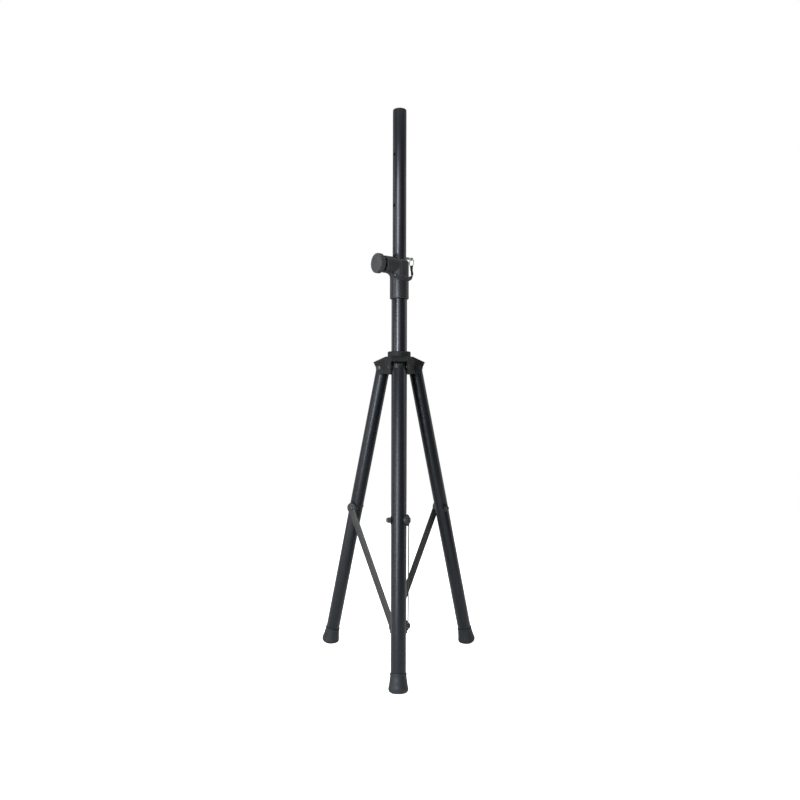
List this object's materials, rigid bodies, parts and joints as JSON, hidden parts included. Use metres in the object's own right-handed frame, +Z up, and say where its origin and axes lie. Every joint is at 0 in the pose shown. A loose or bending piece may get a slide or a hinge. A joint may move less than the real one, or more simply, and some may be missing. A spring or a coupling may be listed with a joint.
{
  "type": "speaker tripod stand",
  "caption": "Telescoping loudspeaker pole on a folding tripod with a sliding leg hub, flat struts, a clamp collar with round knob and a safety pin on a lanyard.",
  "frame": {"origin": "on the floor, on the axis of the pole, with the three feet standing on z = 0", "axes": "+Z up along the pole; the front leg points along -Y, the right leg towards +X and the left leg towards -X"},
  "size_m": [0.4138, 0.3646, 1.397],
  "materials": {
    "painted_tube": "semi-gloss black powder coat on steel tube",
    "painted_strut": "satin black paint on flat steel",
    "moulded_plastic": "fine-textured black glass-filled nylon",
    "knob_plastic": "satin black moulded plastic",
    "rubber_foot": "matte black rubber",
    "lanyard_strap": "soft black flat strap",
    "bright_steel": "nickel-plated steel",
    "black_steel": "black plated steel",
    "brass": "turned brass"
  },
  "bodies": {
    "column": {"lower_tube": "painted_tube", "bottom_plug": "moulded_plastic", "lower_collar": "moulded_plastic", "strut_anchor_bolts": "black_steel", "strut_anchor_washers": "black_steel", "strut_anchor_nuts": "black_steel", "clamp_collar": "moulded_plastic", "collar_liner": "moulded_plastic", "collar_rivets": "black_steel", "clamp_insert": "brass", "lanyard": "lanyard_strap", "lanyard_rivet": "black_steel"},
    "upper_tube": {"upper_tube": "painted_tube", "top_cap": "moulded_plastic", "upper_tube_glide": "moulded_plastic"},
    "clamp_pad": {"clamp_pad": "brass"},
    "clamp_knob": {"clamp_screw": "black_steel", "clamp_knob": "knob_plastic"},
    "safety_pin": {"safety_pin": "bright_steel"},
    "pin_ring": {"pin_ring": "bright_steel"},
    "hub": {"hub": "moulded_plastic", "hub_pivot_bolts": "black_steel", "hub_pivot_nuts": "black_steel", "lock_insert": "brass"},
    "lock_shoe": {"lock_shoe": "moulded_plastic"},
    "lock_knob": {"lock_screw": "black_steel", "lock_knob": "knob_plastic"},
    "front_strut": {"front_strut": "painted_strut"},
    "front_leg": {"front_leg_tube": "painted_tube", "front_leg_plug": "moulded_plastic", "front_foot": "rubber_foot", "front_strut_saddle": "moulded_plastic", "front_strut_bolt": "black_steel", "front_strut_washer": "black_steel", "front_acorn_nut": "black_steel"},
    "right_strut": {"right_strut": "painted_strut"},
    "right_leg": {"right_leg_tube": "painted_tube", "right_leg_plug": "moulded_plastic", "right_foot": "rubber_foot", "right_strut_saddle": "moulded_plastic", "right_strut_bolt": "black_steel", "right_strut_washer": "black_steel", "right_acorn_nut": "black_steel"},
    "left_strut": {"left_strut": "painted_strut"},
    "left_leg": {"left_leg_tube": "painted_tube", "left_leg_plug": "moulded_plastic", "left_foot": "rubber_foot", "left_strut_saddle": "moulded_plastic", "left_strut_bolt": "black_steel", "left_strut_washer": "black_steel", "left_acorn_nut": "black_steel"}
  },
  "joints": [
    {"name": "legs_fold", "type": "hinge", "parent": "column", "child": "front_strut", "pos_m": [0, -0.0025, 0.079], "axis": [1, 0, 0], "range_deg": [-13.46, 11.59]},
    {"name": "front_leg_pivot", "type": "hinge", "parent": "front_strut", "child": "front_leg", "pos_m": [0, -0.13068, 0.37127], "axis": [1, 0, 0], "range_deg": [-21.5, 24.8]},
    {"name": "hub_pivot", "type": "hinge", "parent": "front_leg", "child": "hub", "pos_m": [0, -0.0477, 0.738], "axis": [1, 0, 0], "range_deg": [-11, 9.5]},
    {"name": "tube_slide", "type": "slide", "parent": "column", "child": "upper_tube", "axis": [0, 0, 1], "range_m": [-0.26, 0.39]},
    {"name": "clamp_travel", "type": "slide", "parent": "column", "child": "clamp_pad", "axis": [-0.8192, -0.5736, 0], "range_m": [0, 0.003]},
    {"name": "clamp_knob_turn", "type": "hinge", "parent": "clamp_pad", "child": "clamp_knob", "pos_m": [0, 0, 0.998], "axis": [-0.8192, -0.5736, 0], "range_deg": [-4, 724]},
    {"name": "pin_pull", "type": "slide", "parent": "column", "child": "safety_pin", "axis": [0.8192, 0.5736, 0], "range_m": [0, 0.045]},
    {"name": "pin_ring_turn", "type": "hinge", "parent": "safety_pin", "child": "pin_ring", "pos_m": [0.03154, 0.02208, 1.0111], "axis": [0.8192, 0.5736, 0], "continuous": true},
    {"name": "lock_travel", "type": "slide", "parent": "hub", "child": "lock_shoe", "axis": [0, 1, 0], "range_m": [0, 0.003]},
    {"name": "lock_knob_turn", "type": "hinge", "parent": "lock_shoe", "child": "lock_knob", "pos_m": [0, 0, 0.746], "axis": [0, 1, 0], "range_deg": [-4, 724]},
    {"name": "right_strut_pivot", "type": "hinge", "parent": "column", "child": "right_strut", "pos_m": [0.00217, 0.00125, 0.079], "axis": [-0.5, 0.866, 0], "range_deg": [-14, 12]},
    {"name": "right_leg_pivot", "type": "hinge", "parent": "right_strut", "child": "right_leg", "pos_m": [0.11317, 0.06534, 0.37127], "axis": [-0.5, 0.866, 0], "range_deg": [-21.5, 24.8]},
    {"name": "left_strut_pivot", "type": "hinge", "parent": "column", "child": "left_strut", "pos_m": [-0.00217, 0.00125, 0.079], "axis": [-0.5, -0.866, 0], "range_deg": [-14, 12]},
    {"name": "left_leg_pivot", "type": "hinge", "parent": "left_strut", "child": "left_leg", "pos_m": [-0.11317, 0.06534, 0.37127], "axis": [-0.5, -0.866, 0], "range_deg": [-21.5, 24.8]}
  ],
  "couplings": [
    {"joint": "front_leg_pivot", "follows": "legs_fold", "ratio": -1.7984},
    {"joint": "hub_pivot", "follows": "legs_fold", "ratio": 0.7984},
    {"joint": "right_strut_pivot", "follows": "legs_fold", "ratio": 1},
    {"joint": "left_strut_pivot", "follows": "legs_fold", "ratio": 1},
    {"joint": "right_leg_pivot", "follows": "legs_fold", "ratio": -1.7984},
    {"joint": "left_leg_pivot", "follows": "legs_fold", "ratio": -1.7984},
    {"joint": "clamp_knob_turn", "follows": "clamp_travel", "rad_per_m": 4188.8},
    {"joint": "lock_knob_turn", "follows": "lock_travel", "rad_per_m": 4188.8}
  ]
}
